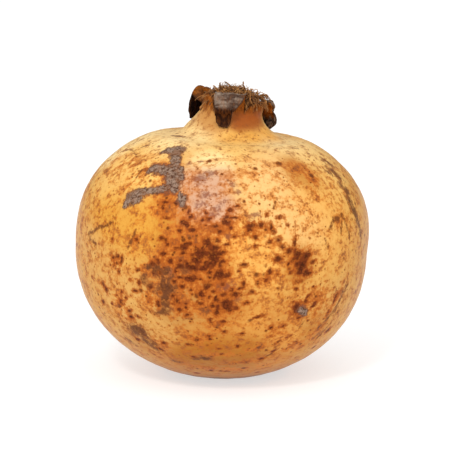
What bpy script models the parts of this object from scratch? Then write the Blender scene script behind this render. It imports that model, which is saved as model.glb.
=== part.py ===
"""A whole pomegranate that stands on the small flat spot at its stem end, crown up.

Two nodes: "fruit" is the one grown piece, from the flat spot over the belly and
shoulder to the neck (the calyx tube) with its cup and its six dried lobes. "stamens"
is the tuft of dried stamens that fills the cup.
The frame: metres, +Z up, the origin at the middle of the flat spot. -Y is the front.
"""

import math

import bmesh
import bpy
from mathutils import Matrix, Vector, noise

MM = 0.001

# The belly, measured along the fruit's own axis from its widest girth.
BELLY_RADIUS = 46.0 * MM
LOWER_DEPTH = 41.8 * MM
LOWER_POWER = 2.18
UPPER_RISE = 38.9 * MM
UPPER_POWER = 2.5
GIRTH_HEIGHT = 41.0 * MM

# The belly rounds over inside SHOULDER_RADIUS to a nearly level shelf around the neck.
SHOULDER_RADIUS = 29.0 * MM
SHELF_RADIUS = 20.0 * MM
SHELF_HEIGHT = 34.4 * MM
NECK_RADIUS = 9.2 * MM
NECK_HEIGHT = 42.0 * MM
RIM_RADIUS = 9.5 * MM
RIM_HEIGHT = 44.8 * MM

# The cup inside the neck.
WALL = 1.9 * MM
CUP_FLOOR = 37.0 * MM
CUP_CORNER = 2.0 * MM

# The fruit isn't round: a lean of its axis, six faint ridges, a few shallow lumps, and a
# swelling of the shoulder on the side that the crown leans to.
LEAN = math.radians(3.3)
NECK_BEND = 0.9 * MM
RIDGES = 6
RIDGE_DEPTH = 0.006
RIDGE_TURN = math.radians(22)
LUMP_DEPTH = 0.010
LUMP_SCALE = 28.0
SWELL = 0.022

# How much wider the neck flares on the side away from the lean, and where along it.
FLARE_SWELL = 2.2 * MM
FLARE_MIDDLE = 38.2 * MM
FLARE_ABOVE = 4.6 * MM
FLARE_BELOW = 2.3 * MM
AROUND = 72

# The lobes of the calyx. A path runs from a lobe's root to its tip in (distance out from
# the tube's middle, height above the widest girth), in millimetres.
LOBE_THICKNESS = 1.3 * MM
LOBE_ACROSS = 8
LOBE_ALONG = 14
LOBES = {
    "lobe_front": dict(azimuth=-99, half_width=4.9, tip=0.40, cup=-0.10,
                       path=((8.5, 43.2), (9.3, 46.6), (11.0, 48.2), (12.4, 46.0),
                             (12.1, 42.4), (11.8, 38.9))),
    "lobe_front_right": dict(azimuth=-40, half_width=4.4, tip=0.60, cup=0.0,
                             path=((8.5, 43.2), (8.9, 44.4), (9.5, 46.4))),
    "lobe_right": dict(azimuth=34, half_width=4.4, tip=0.35, cup=-0.15,
                       path=((8.5, 43.2), (9.3, 45.4), (10.8, 45.8), (11.6, 43.6),
                             (12.8, 41.2), (12.9, 38.0))),
    "lobe_back": dict(azimuth=80, half_width=4.8, tip=0.35, cup=-0.10,
                      path=((8.5, 43.2), (9.3, 45.8), (11.0, 47.2), (12.9, 45.4),
                            (13.5, 42.4), (13.3, 40.0))),
    "lobe_left": dict(azimuth=134, half_width=5.4, tip=0.35, cup=-0.15,
                      path=((8.5, 43.2), (9.0, 46.0), (10.8, 47.6), (12.9, 46.2),
                            (13.8, 43.0), (12.8, 38.6))),
    "lobe_front_left": dict(azimuth=-158, half_width=4.3, tip=0.60, cup=0.0,
                            path=((8.5, 43.2), (8.9, 45.0), (9.4, 47.6))),
}

# The tuft of stamens.
TUFT_GAP = 0.35 * MM
TUFT_TOP = 50.8 * MM
TUFT_ROUGHNESS = 0.9 * MM

RIND_COLOUR = (0.78, 0.42, 0.13, 1)
STAMEN_COLOUR = (0.20, 0.10, 0.045, 1)


def clear_scene():
    for old in list(bpy.data.objects):
        bpy.data.objects.remove(old, do_unlink=True)


def collection(name):
    made = bpy.data.collections.new(name)
    bpy.context.scene.collection.children.link(made)
    return made


def material(name, colour, roughness):
    made = bpy.data.materials.new(name)
    made.use_nodes = True
    shader = made.node_tree.nodes["Principled BSDF"]
    shader.inputs["Base Color"].default_value = colour
    shader.inputs["Roughness"].default_value = roughness
    shader.inputs["Metallic"].default_value = 0.0
    return made


def bezier(start, start_handle, end_handle, end, count):
    """count points of a cubic curve in (radius, height), without its start."""
    points = []
    for i in range(1, count + 1):
        t = i / count
        weights = ((1 - t) ** 3, 3 * t * (1 - t) ** 2, 3 * t * t * (1 - t), t ** 3)
        handles = (start, start_handle, end_handle, end)
        points.append(tuple(sum(w * h[k] for w, h in zip(weights, handles)) for k in (0, 1)))
    return points


def belly_height(radius, depth, power):
    """How far above or below the widest girth the belly's surface is at a radius."""
    return depth * max(0.0, 1 - (radius / BELLY_RADIUS) ** 2) ** (1 / power)


def outer_profile():
    """(radius, height) from the stem end up the outside to the rim of the neck."""
    lower, upper = 15, 9
    points = []
    for i in range(lower + 1):
        radius = BELLY_RADIUS * math.sin(math.radians(90 * i / lower))
        points.append((radius, -belly_height(radius, LOWER_DEPTH, LOWER_POWER)))
    # Equal steps of the angle whose cosine is the radius, up to where the neck flares.
    last = math.acos(SHOULDER_RADIUS / BELLY_RADIUS)
    for i in range(1, upper + 1):
        radius = BELLY_RADIUS * math.cos(last * i / upper)
        points.append((radius, belly_height(radius, UPPER_RISE, UPPER_POWER)))
    shoulder, shelf, neck = points[-1], (SHELF_RADIUS, SHELF_HEIGHT), (NECK_RADIUS, NECK_HEIGHT)
    points += bezier(shoulder, (SHOULDER_RADIUS - 3.2 * MM, shoulder[1] + 1.8 * MM),
                     (SHELF_RADIUS + 3.6 * MM, SHELF_HEIGHT), shelf, 4)
    points += bezier(shelf, (SHELF_RADIUS - 3.5 * MM, SHELF_HEIGHT + 0.1 * MM),
                     (NECK_RADIUS + 0.6 * MM, NECK_HEIGHT - 5.2 * MM), neck, 8)
    points += [((NECK_RADIUS + RIM_RADIUS) / 2, (NECK_HEIGHT + RIM_HEIGHT) / 2),
               (RIM_RADIUS, RIM_HEIGHT)]
    return points


def cup_profile():
    """(radius, height) from the rim down the inside of the neck to the cup's floor."""
    inside = NECK_RADIUS - WALL
    corner = [(inside - CUP_CORNER * (1 - math.cos(math.radians(a))),
               CUP_FLOOR + CUP_CORNER * (1 - math.sin(math.radians(a)))) for a in (0, 45, 90)]
    return [(RIM_RADIUS - WALL, RIM_HEIGHT), (inside, NECK_HEIGHT), *corner, (0.0, CUP_FLOOR)]


def stand(point):
    """From the fruit's own round axis to where the point is on the standing fruit."""
    belly = max(0.0, 1 - (point.z / UPPER_RISE) ** 2)
    around = math.atan2(point.y, point.x)
    ridge = RIDGE_DEPTH * belly * math.cos(RIDGES * (around - RIDGE_TURN))
    lump = LUMP_DEPTH * belly * noise.noise(point * LUMP_SCALE)
    rise = min(1.0, max(0.0, point.z / UPPER_RISE))
    swell = SWELL * math.sin(math.pi * rise) * (1 + math.cos(around)) / 2
    above = point.z - FLARE_MIDDLE
    fall = FLARE_ABOVE if above > 0 else FLARE_BELOW
    flare = FLARE_SWELL * math.exp(-(above / fall) ** 2) * ((1 - math.cos(around)) / 2) ** 3
    wider = 1 + ridge + lump + swell + flare / max(math.hypot(point.x, point.y), MM)
    point = Vector((point.x * wider, point.y * wider, point.z))
    above = max(0.0, point.z / NECK_HEIGHT)
    point.x += NECK_BEND * above ** 4
    point = Matrix.Rotation(LEAN, 3, "Y") @ point
    point.z = max(0.0, point.z + GIRTH_HEIGHT)
    return point


def turned(name, profile, steps):
    """A closed mesh from a profile that runs from the axis, down the outside, to the axis."""
    flat = bpy.data.meshes.new(name + "_profile")
    flat.from_pydata([(r, 0, z) for r, z in profile],
                     [(i, i + 1) for i in range(len(profile) - 1)], [])
    holder = bpy.data.objects.new(name + "_profile", flat)
    bpy.context.scene.collection.objects.link(holder)
    screw = holder.modifiers.new("Screw", "SCREW")
    screw.steps = screw.render_steps = steps
    screw.use_merge_vertices = True
    screw.merge_threshold = 0.00001
    graph = bpy.context.evaluated_depsgraph_get()
    mesh = bpy.data.meshes.new_from_object(holder.evaluated_get(graph), depsgraph=graph)
    bpy.data.objects.remove(holder)
    mesh.name = name
    return mesh


def reshape(mesh, move):
    """Sends every vertex of the mesh through move, and drops what that flattened."""
    shaped = bmesh.new()
    shaped.from_mesh(mesh)
    for vertex in shaped.verts:
        vertex.co = move(vertex.co)
    bmesh.ops.remove_doubles(shaped, verts=shaped.verts, dist=0.00001)
    bmesh.ops.recalc_face_normals(shaped, faces=shaped.faces)
    shaped.to_mesh(mesh)
    shaped.free()
    mesh.shade_smooth()


def lobe_spine(path, steps):
    """[(distance out, height, heading)] at equal steps of a smooth line through path. The
    heading is in radians from straight up, turning outwards."""
    points = [Vector(point) * MM for point in path]
    points = [2 * points[0] - points[1], *points, 2 * points[-1] - points[-2]]
    spine = []
    for step in range(steps + 1):
        place = step / steps * (len(path) - 1)
        i = min(int(place), len(path) - 2)
        t = place - i
        before, start, end, after = points[i:i + 4]
        bend = 2 * before - 5 * start + 4 * end - after
        twist = 3 * start - before - 3 * end + after
        at = start + ((end - before) * t + bend * t * t + twist * t ** 3) / 2
        slope = (end - before) + 2 * bend * t + 3 * twist * t * t
        spine.append((at.x, at.y, math.atan2(slope.x, slope.y)))
    return spine


def lobe(name, azimuth, half_width, tip, cup, path):
    """A closed leathery sheet that grows from the tube's wall. cup curls its edges
    towards the neck if negative, and outwards if positive."""
    half_width = half_width * MM
    spine = lobe_spine(path, LOBE_ALONG)
    sheet = bmesh.new()
    bmesh.ops.create_grid(sheet, x_segments=LOBE_ACROSS, y_segments=LOBE_ALONG, size=0.5)
    turn = Matrix.Rotation(math.radians(azimuth), 3, "Z")
    for vertex in sheet.verts:
        across, along = vertex.co.x * 2, vertex.co.y + 0.5
        out, up, heading = spine[round(along * LOBE_ALONG)]
        wide = half_width * (1 - (1 - tip) * along ** 2.2)
        # The root follows the round of the tube, and the rest flattens out.
        round_of_tube = (RIM_RADIUS - math.sqrt(RIM_RADIUS ** 2 - (across * wide) ** 2))
        sink = round_of_tube * (1 - along) ** 2 - cup * wide * across ** 2 * along
        out -= sink * math.cos(heading)
        up += sink * math.sin(heading)
        vertex.co = turn @ Vector((out, across * wide, up))
    bmesh.ops.recalc_face_normals(sheet, faces=sheet.faces)
    mesh = bpy.data.meshes.new(name)
    sheet.to_mesh(mesh)
    sheet.free()
    made = bpy.data.objects.new(name, mesh)
    thick = made.modifiers.new("Solidify", "SOLIDIFY")
    thick.thickness = LOBE_THICKNESS
    thick.offset = 0
    thick.use_even_offset = True
    return made


def flattened(holder):
    """The object's mesh with its modifiers applied."""
    graph = bpy.context.evaluated_depsgraph_get()
    return bpy.data.meshes.new_from_object(holder.evaluated_get(graph), depsgraph=graph)


def lobes(cutters):
    """One hidden object for each lobe, standing where the fruit's neck is."""
    made = []
    for name, shape in LOBES.items():
        blank = lobe(name + "_blank", **shape)
        cutters.objects.link(blank)
        mesh = flattened(blank)
        bpy.data.objects.remove(blank)
        reshape(mesh, stand)
        joined = bpy.data.objects.new(name, mesh)
        joined.hide_render = True
        joined.display_type = "WIRE"
        cutters.objects.link(joined)
        made.append(joined)
    return made


def fruit(parts, cutters):
    profile = outer_profile() + cup_profile()
    mesh = turned("fruit", profile[::-1], AROUND)
    reshape(mesh, stand)
    made = bpy.data.objects.new("fruit", mesh)
    made.data.materials.append(material("rind", RIND_COLOUR, 0.38))
    parts.objects.link(made)
    for each in lobes(cutters):
        join = made.modifiers.new("Join " + each.name, "BOOLEAN")
        join.operation = "UNION"
        join.object = each
    return made


def stamens(parts):
    """The tuft: a plug that fills the cup, with a rough domed top above the rim."""
    radius = NECK_RADIUS - WALL - TUFT_GAP
    mouth = RIM_RADIUS - WALL - TUFT_GAP
    floor = CUP_FLOOR + TUFT_GAP
    dome = [(mouth * math.sin(math.radians(a)),
             RIM_HEIGHT + (TUFT_TOP - RIM_HEIGHT) * math.cos(math.radians(a)))
            for a in (0, 20, 38, 54, 68, 80)]
    side = [(mouth, RIM_HEIGHT), (radius, NECK_HEIGHT), (radius, floor + CUP_CORNER),
            (radius - 0.3 * CUP_CORNER, floor + 0.3 * CUP_CORNER), (radius - CUP_CORNER, floor)]
    mesh = turned("stamens", dome + side + [(0.0, floor)], 40)

    def rough(point):
        if point.z > RIM_HEIGHT + 0.1 * MM:
            point = point + Vector((0, 0, TUFT_ROUGHNESS * noise.noise(point * 420)))
        return stand(point)

    reshape(mesh, rough)
    made = bpy.data.objects.new("stamens", mesh)
    made.data.materials.append(material("stamens", STAMEN_COLOUR, 0.9))
    parts.objects.link(made)
    return made


def main():
    clear_scene()
    parts = collection("pomegranate")
    cutters = collection("cutters")
    fruit(parts, cutters)
    stamens(parts)


main()
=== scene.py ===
"""The looks of a weathered pomegranate that stands on its stem end, crown up.

Two pieces stand for the two CAD nodes. "fruit" is one closed mesh: the skin from the stem
scar to the neck, the six dried lobes that the neck tears into, and the cup inside them.
"stamens" is the tuft of dried threads in the cup. Shapes are worked out in millimetres
on the fruit's own upright axis, and then stood up with the lean that the CAD has.
"""
import functools
import math
import random

import bpy
import numpy as np
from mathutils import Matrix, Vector, noise
from mathutils.bvhtree import BVHTree


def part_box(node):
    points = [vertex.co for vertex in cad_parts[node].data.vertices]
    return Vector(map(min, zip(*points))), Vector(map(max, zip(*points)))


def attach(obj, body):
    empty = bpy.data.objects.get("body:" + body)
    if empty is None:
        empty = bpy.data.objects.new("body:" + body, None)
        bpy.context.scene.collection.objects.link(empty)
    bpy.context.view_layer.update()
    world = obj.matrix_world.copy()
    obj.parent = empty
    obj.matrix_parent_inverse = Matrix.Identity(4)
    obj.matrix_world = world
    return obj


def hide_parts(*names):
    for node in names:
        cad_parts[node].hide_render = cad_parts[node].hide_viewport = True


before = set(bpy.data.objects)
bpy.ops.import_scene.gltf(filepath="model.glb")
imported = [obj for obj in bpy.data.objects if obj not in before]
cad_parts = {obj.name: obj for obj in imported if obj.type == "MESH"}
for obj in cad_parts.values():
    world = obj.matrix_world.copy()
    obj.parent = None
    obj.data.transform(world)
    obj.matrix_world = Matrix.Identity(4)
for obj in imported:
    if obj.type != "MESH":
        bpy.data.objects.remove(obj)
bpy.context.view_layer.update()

FRUIT_LOW, FRUIT_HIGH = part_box("fruit")
# One millimetre of the fruit as it is drawn here, which is 90.75 mm tall with its crown.
MM = (FRUIT_HIGH.z - FRUIT_LOW.z) / 90.75
FLOOR = FRUIT_LOW.z
SKIN_SEED = 7
TUFT_SEED = 41

# The belly, the neck and the cup. Heights are from the widest girth, in millimetres.
BELLY_RADIUS = 46.0
LOWER_DEPTH = 41.8
LOWER_POWER = 2.18
UPPER_RISE = 38.9
UPPER_POWER = 2.5
GIRTH_HEIGHT = 41.0
SHOULDER_RADIUS = 29.0
SHELF_RADIUS = 20.0
SHELF_HEIGHT = 34.4
NECK_RADIUS = 9.2
NECK_HEIGHT = 42.0
WALL = 1.9
CUP_FLOOR = 37.0
CUP_ROUNDING = 2.0
CUP_WALL_HEIGHTS = (40.6, 39.2)
CUP_FLOOR_RADII = (3.5, 1.6)
# The round scar where the stem broke off.
SCAR_RADIUS = 3.0
SCAR_EDGE = 1.2
SCAR_DEPTH = 0.7
# How the standing fruit strays from a round upright one.
LEAN = math.radians(3.3)
NECK_BEND = 0.9
RIDGES = 6
RIDGE_DEPTH = 0.006
RIDGE_TURN = math.radians(22)
LUMP_DEPTH = 0.010
LUMP_SCALE = 0.028
SWELL = 0.022
FLARE_SWELL = 2.2
FLARE_MIDDLE = 38.2
FLARE_ABOVE = 4.6
FLARE_BELOW = 2.3

COLUMNS = 320
# How much closer together the columns stand at the front than on average.
FRONT_CROWDING = 0.25
ROW_STEP = 0.72
LOBE_ROWS = 34

# The dried lobes. azimuth is where a lobe stands on the tube, in degrees. path runs along
# the middle of the sheet in (distance out from the tube's axis, height above the girth).
# outline gives how much of that length the sheet reaches at places across it, from one notch
# at -1 to the next at 1. width is the sheet's spread along its length, against the width of
# its root. ragged and crumple say how deep its edge is torn and its face dented. tilt raises
# one side and hook pushes both sides outwards, in millimetres. silver is how grey it has
# dried, from 0 to 1, or else SILVER.
LOBES = [
    # front left
    dict(azimuth=-158, ragged=0.9, crumple=0.25,
         path=[(8.25, 42), (8.5, 44), (8.9, 46), (9.6, 48.2)],
         outline=[(-1, 0.3), (-0.8, 0.62), (-0.3, 0.8), (0.1, 1), (0.5, 0.9), (0.8, 0.7), (1, 0.3)],
         width=[1, 1, 1, 0.95]),
    # front
    dict(azimuth=-99, ragged=0.35, crumple=0.45, silver=1,
         path=[(8.25, 42), (8.7, 45), (9.6, 47.9), (11.2, 48.3), (12.3, 46.4), (12.7, 43.4),
               (11.6, 42.2), (11.3, 40.4), (11.7, 38.5)],
         outline=[(-1, 0.12), (-0.97, 0.45), (-0.9, 0.56), (-0.8, 0.64), (-0.72, 0.78), (-0.6, 0.92),
                  (-0.4, 0.98), (-0.1, 1), (0.14, 1), (0.26, 0.94), (0.33, 0.71), (0.5, 0.67),
                  (0.62, 0.62), (0.78, 0.55), (0.9, 0.48), (0.97, 0.38), (1, 0.12)],
         width=[1, 1.05, 1.15, 1.2, 1.22, 1.2, 1.15, 1.15, 1.1]),
    # front right
    dict(azimuth=-40, ragged=1, crumple=0.3,
         path=[(8.25, 42), (8.5, 43.6), (8.9, 45), (9.8, 46.6)],
         outline=[(-1, 0.25), (-0.7, 0.6), (-0.3, 0.9), (0.1, 0.8), (0.4, 1), (0.8, 0.75), (1, 0.35)],
         width=[1]),
    # right
    dict(azimuth=34, ragged=0.5, crumple=0.4, silver=1,
         path=[(8.25, 42), (8.5, 43.3), (9, 44.4), (9.8, 44.4), (10.5, 43.2), (10.9, 42),
               (12.6, 41.2), (13.4, 39.4), (12.4, 37.4), (12, 35.6)],
         outline=[(-1, 0.2), (-0.93, 0.6), (-0.7, 0.92), (-0.3, 0.97), (0.2, 1), (0.6, 0.85),
                  (0.9, 0.55), (1, 0.2)],
         width=[1, 1.05, 1.15, 1.2, 1.05, 0.8, 1.15, 1.3, 1.2, 0.8]),
    # back
    dict(azimuth=80, ragged=0.4, crumple=0.45,
         path=[(8.25, 42), (8.7, 44.8), (9.6, 46.9), (11.2, 47.4), (12.9, 45.8), (13.6, 42.8),
               (13.2, 40.2)],
         outline=[(-1, 0.15), (-0.9, 0.5), (-0.6, 0.8), (-0.1, 1), (0.3, 0.92), (0.7, 0.7),
                  (0.92, 0.4), (1, 0.15)],
         width=[1, 1.02, 1.08, 1.1, 1, 0.9, 0.75]),
    # left
    dict(azimuth=134, ragged=0.3, crumple=0.3, tilt=2.4, hook=1.7, silver=0,
         path=[(8.25, 42), (8.4, 44.4), (9, 46.4), (10.5, 47.6), (12.4, 46.8), (13.8, 44.6),
               (14.1, 42.2), (13.5, 40), (12.8, 38)],
         outline=[(-1, 0.15), (-0.93, 0.55), (-0.7, 0.85), (-0.1, 0.95), (0.5, 1), (0.8, 0.98),
                  (0.95, 0.85), (1, 0.3)],
         width=[1, 1.05, 1.15, 1.3, 1.4, 1.45, 1.4, 1.25, 1]),
]
SILVER = 0.25
# The thickness of a lobe, as shares of WALL at lengths along it, and as shares of that at
# distances from its torn edge.
THINNING = ([0, 2.5, 5, 12], [1, 0.62, 0.42, 0.34])
EDGE_THINNING = ([0, 1.5], [0.55, 1])

# The tuft of stamens: threads that grow from its mound, debris on it, and threads that
# spill over the torn rim. Turns are azimuths as (from, to, most often).
THREADS = 760
SPILL = 150
DEBRIS = 420
THREAD_RADIUS = 0.115
TUFT_RADIUS = 7.0
DEBRIS_RADIUS = 7.6
SPILL_RADII = (6.4, 8.8)
SPILL_HEIGHTS = (45.0, 48.0)
FRONT_SPILL = (-95, 12, -42)
LEFT_SPILL = (-175, -120, -150)
MOUND_RADIUS = 7.1
MOUND_TOP = 49.1
MOUND_FLOOR = 38.2
MOUND_STEM_HEIGHTS = (44.5, 41.0, 38.6)
MOUND_COLUMNS = 64
MOUND_RINGS = 20
MOUND_SHADE = 0.35

# The viewer stands in front, looks down by the elevation and sees a square of VIEW_WIDTH.
# STAND_LINE is where the fruit's foot is in it, below the middle. All in metres.
VIEW_ELEVATION = math.radians(10)
VIEW_DISTANCE = 0.60
VIEW_WIDTH = 0.1411
VIEW_TARGET = Vector((0.00094, 0, 0.04705))
STAND_LINE = -0.04782
# The lamp, in metres and watts, and the place that it is turned to.
LAMP_PLACE = Vector((-0.20, -0.70, 0.64))
LAMP_TARGET = Vector((0, 0, 0.045))
LAMP_SIZE = (0.13, 0.11)
LAMP_POWER = 2.7

# ---- Marks of the skin -------------------------------------------------------------
#
# A mark on the front is placed as the viewer sees it: (mm right of the fruit's middle,
# mm above the line where it stands, half width, half height, turn), and lands on the skin
# behind that place. Sizes are millimetres on the skin. Turns are degrees anticlockwise,
# and are left out where they are 0.

# Dark red-brown blotches with a rusty halo.
BLOTCHES = [
    # the dark cluster at the right
    (23.8, 38.6, 1.6, 1.5), (25.2, 35.6, 1.8, 2.4), (26.4, 32.8, 1.5, 1.4),
    # the dark cluster in the middle
    (-6.5, 38.6, 2.6, 1.8), (-3, 38.2, 2.2, 2), (-8, 36.6, 2, 1.4), (-9.8, 34.6, 2.6, 1.2),
    (-5.5, 34.4, 1.8, 1), (-2.2, 40.6, 1.6, 1.2), (-4.6, 41.8, 1.5, 1.1), (-13.2, 34.8, 1.8, 1),
    (-0.7, 32.3, 2, 1.7), (-4.7, 28.6, 1.5, 1.4), (-10.1, 31, 1.8, 1), (1.2, 23.2, 1.8, 2),
    (-12, 40.8, 1.6, 1.2), (24.6, 34.4, 1.6, 1.8), (26.4, 38.2, 1.4, 1.4), (-7.3, 38.7, 1, 1.8),
    (-8.8, 37, 1.1, 0.9), (-5, 36, 1, 0.9), (-2, 37, 1.7, 1.2), (-0.9, 38.7, 1.1, 0.9),
    (-6.3, 34.1, 1.4, 0.8), (-9, 34, 1.3, 1), (-10.8, 35.8, 1.2, 0.7, 20), (-12.8, 34.8, 1.3, 0.9),
    (-4.7, 43, 1.3, 1.2), (-3, 40.2, 1.6, 0.9), (0.1, 36.4, 1, 0.9), (0.3, 39.2, 1.1, 0.7),
    (-16.3, 36.5, 1.2, 1.1), (-18.5, 38.8, 1.1, 0.8), (-10, 30.8, 1.6, 0.9), (-4.3, 28.6, 1.3, 1.2),
    (-0.8, 32.3, 2.1, 1.5), (-13.2, 31.4, 1.3, 0.6), (-10, 27.5, 0.7, 0.7), (-12, 39, 1.6, 0.5, 10),
    (-14.5, 40.5, 0.8, 0.6), (-11, 42, 1, 0.6, 15), (-1.5, 43, 0.8, 0.8), (-6, 40.6, 0.8, 0.6),
    (-4, 33, 0.9, 0.7), (-2.6, 34.8, 0.8, 0.6),
    # above it
    (-11.5, 48.2, 1.4, 1.1, -20), (-9.2, 46.2, 1.5, 0.9), (-13.3, 46, 0.9, 0.7),
    (-10.4, 51.8, 0.6, 1.3), (-4.2, 49.6, 1.2, 0.6, 10), (-2, 47.4, 1.4, 0.7),
    (-14.3, 54.5, 1.3, 0.7, -20), (1.8, 48.6, 1, 0.9), (2.8, 46.9, 0.8, 0.7), (-0.8, 45.6, 1.2, 0.8),
    (2.5, 52.5, 1.1, 0.8), (4.6, 53.8, 0.9, 0.5), (9, 47.5, 1.6, 1), (12.3, 47.8, 1.1, 0.9),
    (15.5, 47, 0.6, 1.7), (18, 50.3, 1.1, 0.6), (14.2, 51, 0.6, 0.6), (4, 50, 1.8, 0.5),
    (20.6, 47.8, 0.6, 0.6), (-17.8, 54.9, 1.1, 0.6), (-17.6, 50.1, 1.4, 0.5),
    # right of the middle
    (17.7, 43.2, 1.2, 0.9, -20), (19, 41, 1, 0.8), (17.5, 37.2, 1.5, 1), (21, 39.6, 1.1, 1),
    (22.8, 42.4, 0.6, 1.9, -5), (23.7, 35.6, 1.1, 1.1), (24.5, 33.3, 1.6, 1.4), (27, 38.6, 1.2, 1.2),
    (28.5, 36.3, 1, 0.7), (27.2, 32.8, 1.2, 0.8), (25.9, 36.2, 0.8, 0.8), (20.7, 35.4, 0.5, 0.9),
    (23.5, 30, 1.2, 0.6), (23.3, 27.8, 0.9, 0.6), (21.5, 32.8, 0.8, 0.5), (10.5, 44, 0.9, 0.9),
    (10.6, 41.2, 0.9, 0.5), (15, 42.5, 0.9, 0.6), (6.8, 35.3, 1.2, 0.7), (5.2, 33.4, 0.6, 0.6),
    (14.8, 32.8, 1.2, 0.7, 20), (15.2, 34, 0.6, 0.6), (17.5, 32.2, 0.6, 0.7), (9.2, 26.8, 1.1, 0.7),
    (6.8, 29.3, 0.7, 1.3), (11.2, 29.6, 0.6, 0.9), (4.2, 26.1, 1.2, 1.1), (1.5, 22, 1.7, 1.5),
    (4.5, 21.8, 1, 0.7), (5.9, 25.8, 0.6, 0.6), (23.5, 21.6, 1.7, 2.2), (26.3, 24, 0.6, 1),
    (28.5, 22.3, 1, 0.6), (24, 18.8, 0.9, 0.6), (35.1, 23.9, 0.6, 1.1), (11.3, 18.9, 1.6, 0.5, 8),
    (19.3, 16.2, 0.9, 0.6, 20), (1.6, 41.8, 0.9, 0.5), (7, 45, 0.9, 0.5), (0.3, 26.2, 1.3, 0.6),
    (-1.5, 20.5, 1, 1.2), (0.6, 17.5, 1.1, 0.6), (-1, 9, 0.9, 0.5), (-8.9, 6.5, 1, 0.6),
    (17.7, 11.2, 0.9, 0.5, 40), (16.2, 8.4, 1.2, 0.5, 30), (21, 12.8, 1.1, 0.4, 15),
    (6.5, 13.8, 0.8, 0.5), (-3.6, 18.2, 0.8, 0.6), (-3.8, 11.9, 0.9, 0.4), (-1.8, 24.4, 1, 0.8),
    (3, 27.6, 0.8, 0.7), (-2.8, 27, 0.8, 0.6), (7.6, 23.4, 0.9, 0.7), (0.2, 29.2, 0.7, 0.6),
    (5.6, 28, 0.7, 0.6), (-1.2, 22.2, 0.9, 0.9),
    # left
    (-21.8, 35.6, 1.1, 0.9), (-20, 36.6, 1.1, 0.7), (-26.3, 33.7, 1.2, 0.6), (-26, 29.8, 0.6, 1.1),
    (-27.2, 27.2, 1.3, 0.6, -10), (-34, 37.6, 1.1, 0.7), (-31.3, 37.2, 0.7, 1.2),
    (-31.6, 36.1, 0.7, 0.6), (-33.8, 35.6, 0.6, 0.6), (-32.3, 33.3, 0.6, 0.8),
    (-40.7, 31.5, 0.6, 0.6), (-37.3, 29.4, 0.8, 1.2, 15), (-36.2, 27.6, 0.9, 1),
    (-37.2, 23.7, 1, 0.9), (-31.3, 23.2, 1.2, 0.6), (-32.8, 25.5, 0.8, 0.4, -20),
    (-30.2, 24.9, 0.7, 0.5), (-34.4, 23.1, 0.6, 0.6), (-28.5, 19.1, 1, 0.8),
    (-26.4, 19.2, 0.9, 0.6, -40), (-34.5, 43.3, 0.5, 0.8), (-31.5, 27, 0.6, 0.6),
    (-28.7, 30.6, 0.6, 0.5), (-20, 22.8, 0.8, 1.3), (-14, 24, 0.9, 1.1, 10), (-7, 23.2, 1.6, 0.6),
    (-5.8, 25.8, 1.1, 0.5), (-11.4, 21.9, 0.7, 0.6), (-19.3, 9, 1.6, 0.6, -40),
]
# Purple-brown, soft-edged bruises.
BRUISES = [
    (3.4, 60.4, 1.4, 1.1, -30), (5.2, 58.1, 1.3, 1, -30), (10.2, 51, 2.4, 1), (8.8, 49, 1.2, 0.9),
    (0.8, 55.4, 1.2, 0.8, 20), (-1.6, 57.3, 1, 0.6), (-10.2, 67.2, 0.9, 0.8), (-6.5, 67.7, 0.9, 0.6),
    (-6.8, 54.5, 2.2, 1.6), (-5.2, 57.5, 1.8, 1.4), (-3, 51, 3, 1.4), (-1, 53.4, 1.6, 1),
    (-2.4, 40.4, 2, 1.3), (-9.2, 36.9, 1.2, 0.7), (24.6, 33.6, 1.6, 1.4), (-7, 62, 2.6, 2.2),
    (-3.4, 64, 2.4, 1.6), (-12.5, 62.5, 0.8, 1.2), (2.2, 44.2, 1.4, 0.8), (-9, 50, 1.2, 0.9),
    (-16, 33, 2, 1.2), (25.5, 36.5, 1.8, 1.4), (26.6, 33, 1.8, 1.7), (22, 40, 1.3, 1.1),
    (23.6, 22.2, 1.9, 2.1), (0.8, 22.6, 1.8, 2), (5, 25.2, 1.4, 1.4), (1.6, 28.4, 2.6, 2),
]
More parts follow.
